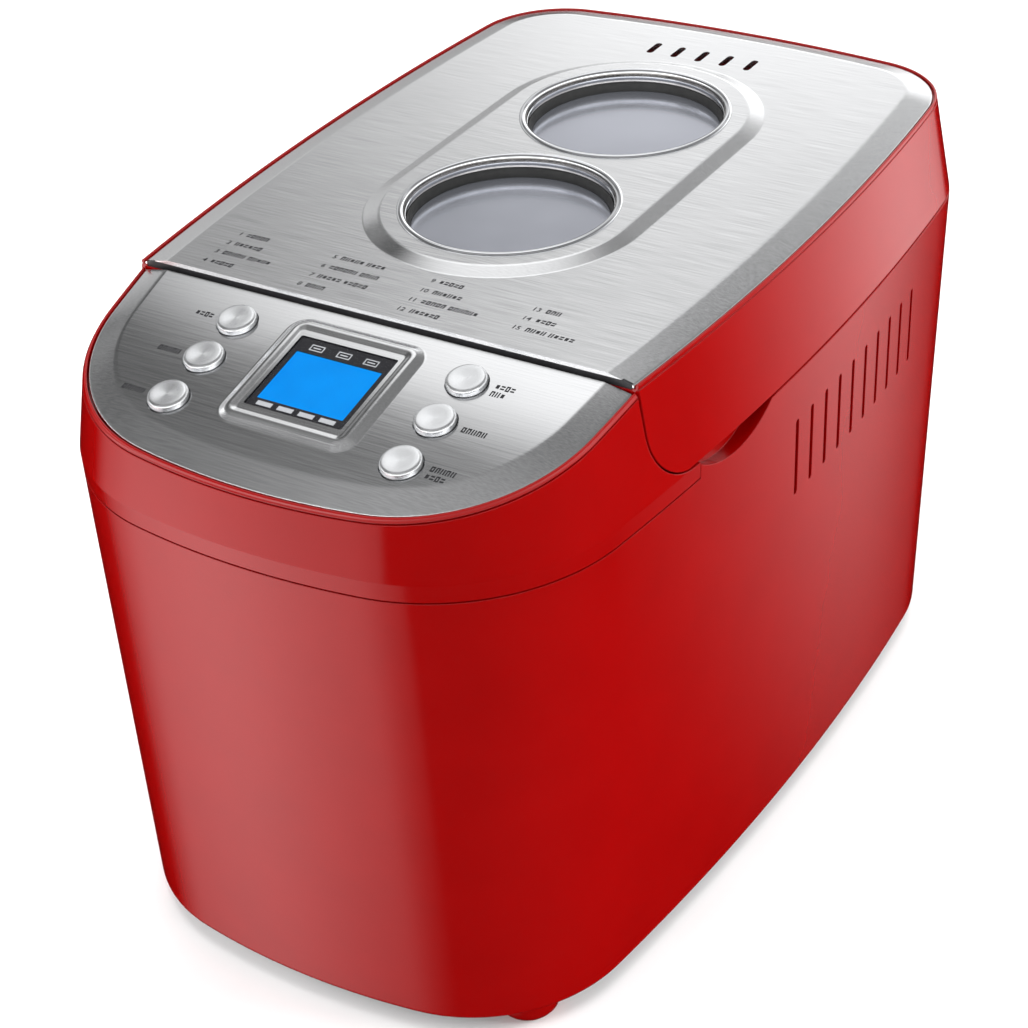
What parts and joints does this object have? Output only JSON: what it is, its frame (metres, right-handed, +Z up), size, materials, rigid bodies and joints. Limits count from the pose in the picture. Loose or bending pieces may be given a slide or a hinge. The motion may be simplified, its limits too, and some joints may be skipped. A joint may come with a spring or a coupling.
{
  "type": "bread machine",
  "caption": "Bread machine with a hinged windowed lid, sloping button console, lift-out pan, kneading paddles and a belt drive in a tapered housing.",
  "frame": {"origin": "centre of the outline on the surface it stands on", "axes": "+Z up, -Y towards the control panel, +Y towards the lid hinge"},
  "size_m": [0.2686, 0.434, 0.2912],
  "materials": {
    "red_plastic": "gloss",
    "dark_plastic": "satin",
    "brushed_steel": "brushed along the width",
    "chrome": "polished",
    "button_metal": "spun",
    "window_glass": "smoked",
    "display_cover": "clear",
    "display_blue": "backlit",
    "sheet_steel": "rolled",
    "nonstick": "non-stick coating",
    "board_green": "solder mask",
    "rubber": "moulded",
    "brass": "turned",
    "cast_aluminium": "turned"
  },
  "bodies": {
    "root": {"body_housing": "red_plastic", "base_plate": "dark_plastic", "power_board": "board_green", "power_inlet": "dark_plastic", "foot_front_left": "red_plastic", "foot_front_right": "red_plastic", "foot_rear_left": "red_plastic", "foot_rear_right": "red_plastic", "console_housing": "red_plastic", "control_fascia": "brushed_steel", "lcd_bezel": "dark_plastic", "lcd_module": "display_blue", "lcd_window": "display_cover", "control_board": "board_green", "hinge_bracket_left": "dark_plastic", "hinge_bracket_right": "dark_plastic", "hinge_pin_left": "sheet_steel", "hinge_pin_right": "sheet_steel", "chamber_deck": "dark_plastic", "baking_chamber": "sheet_steel", "heating_element": "nonstick", "temperature_probe": "sheet_steel", "drive_frame": "sheet_steel", "drive_bearing_front": "brass", "drive_bearing_rear": "brass", "motor_belt": "rubber", "cross_belt": "rubber", "motor_body": "sheet_steel"},
    "menu_button": {"menu_button": "button_metal"},
    "timer_up_button": {"timer_up_button": "button_metal"},
    "timer_down_button": {"timer_down_button": "button_metal"},
    "loaf_size_button": {"loaf_size_button": "button_metal"},
    "crust_button": {"crust_button": "button_metal"},
    "start_stop_button": {"start_stop_button": "button_metal"},
    "lid": {"lid_skirt": "red_plastic", "lid_top_plate": "brushed_steel", "lid_liner": "sheet_steel", "window_bezel_front": "chrome", "window_bezel_rear": "chrome", "window_glass_front": "window_glass", "window_glass_rear": "window_glass", "hinge_arm_left": "dark_plastic", "hinge_arm_right": "dark_plastic"},
    "pan": {"bread_pan": "nonstick", "pan_bearing_front": "brass", "pan_bearing_rear": "brass"},
    "bail": {"pan_bail": "sheet_steel"},
    "front_paddle": {"pan_shaft_front": "sheet_steel", "kneading_paddle_front": "nonstick"},
    "front_drive": {"drive_spindle_front": "sheet_steel", "drive_pulley_front": "dark_plastic"},
    "rear_paddle": {"pan_shaft_rear": "sheet_steel", "kneading_paddle_rear": "nonstick"},
    "rear_drive": {"drive_spindle_rear": "sheet_steel", "drive_pulley_rear": "dark_plastic"},
    "motor_rotor": {"motor_shaft": "sheet_steel", "motor_pulley": "cast_aluminium"}
  },
  "joints": [
    {"name": "lid_hinge", "type": "hinge", "parent": "root", "child": "lid", "pos_m": [0, 0.21, 0.213], "axis": [-1, 0, 0], "range_deg": [0, 85]},
    {"name": "menu_button_press", "type": "slide", "parent": "root", "child": "menu_button", "axis": [0, 0.2113, -0.9774], "range_m": [0, 0.0012], "stiffness_N_per_m": 400, "springref_m": -0.0015},
    {"name": "timer_up_button_press", "type": "slide", "parent": "root", "child": "timer_up_button", "axis": [0, 0.2113, -0.9774], "range_m": [0, 0.0012], "stiffness_N_per_m": 400, "springref_m": -0.0015},
    {"name": "timer_down_button_press", "type": "slide", "parent": "root", "child": "timer_down_button", "axis": [0, 0.2113, -0.9774], "range_m": [0, 0.0012], "stiffness_N_per_m": 400, "springref_m": -0.0015},
    {"name": "loaf_size_button_press", "type": "slide", "parent": "root", "child": "loaf_size_button", "axis": [0, 0.2113, -0.9774], "range_m": [0, 0.0012], "stiffness_N_per_m": 400, "springref_m": -0.0015},
    {"name": "crust_button_press", "type": "slide", "parent": "root", "child": "crust_button", "axis": [0, 0.2113, -0.9774], "range_m": [0, 0.0012], "stiffness_N_per_m": 400, "springref_m": -0.0015},
    {"name": "start_stop_button_press", "type": "slide", "parent": "root", "child": "start_stop_button", "axis": [0, 0.2113, -0.9774], "range_m": [0, 0.0012], "stiffness_N_per_m": 400, "springref_m": -0.0015},
    {"name": "pan_lift", "type": "slide", "parent": "root", "child": "pan", "axis": [0, 0, 1], "range_m": [0, 0.006]},
    {"name": "bail_swing", "type": "hinge", "parent": "pan", "child": "bail", "pos_m": [0, 0.04105, 0.2128], "axis": [0, -1, 0], "range_deg": [0, 16]},
    {"name": "front_drive_spin", "type": "hinge", "parent": "root", "child": "front_drive", "pos_m": [0, -0.0099, 0.05], "axis": [0, 0, 1], "continuous": true},
    {"name": "rear_drive_spin", "type": "hinge", "parent": "root", "child": "rear_drive", "pos_m": [0, 0.092, 0.05], "axis": [0, 0, 1], "continuous": true},
    {"name": "motor_spin", "type": "hinge", "parent": "root", "child": "motor_rotor", "pos_m": [0, -0.157, 0.05], "axis": [0, 0, 1], "continuous": true},
    {"name": "front_paddle_spin", "type": "hinge", "parent": "pan", "child": "front_paddle", "pos_m": [0, -0.0099, 0.12], "axis": [0, 0, 1], "continuous": true},
    {"name": "rear_paddle_spin", "type": "hinge", "parent": "pan", "child": "rear_paddle", "pos_m": [0, 0.092, 0.12], "axis": [0, 0, 1], "continuous": true}
  ],
  "couplings": [
    {"joint": "rear_drive_spin", "follows": "front_drive_spin", "ratio": 1},
    {"joint": "motor_spin", "follows": "front_drive_spin", "ratio": 5.75},
    {"joint": "front_paddle_spin", "follows": "front_drive_spin", "ratio": 1},
    {"joint": "rear_paddle_spin", "follows": "front_drive_spin", "ratio": 1}
  ]
}
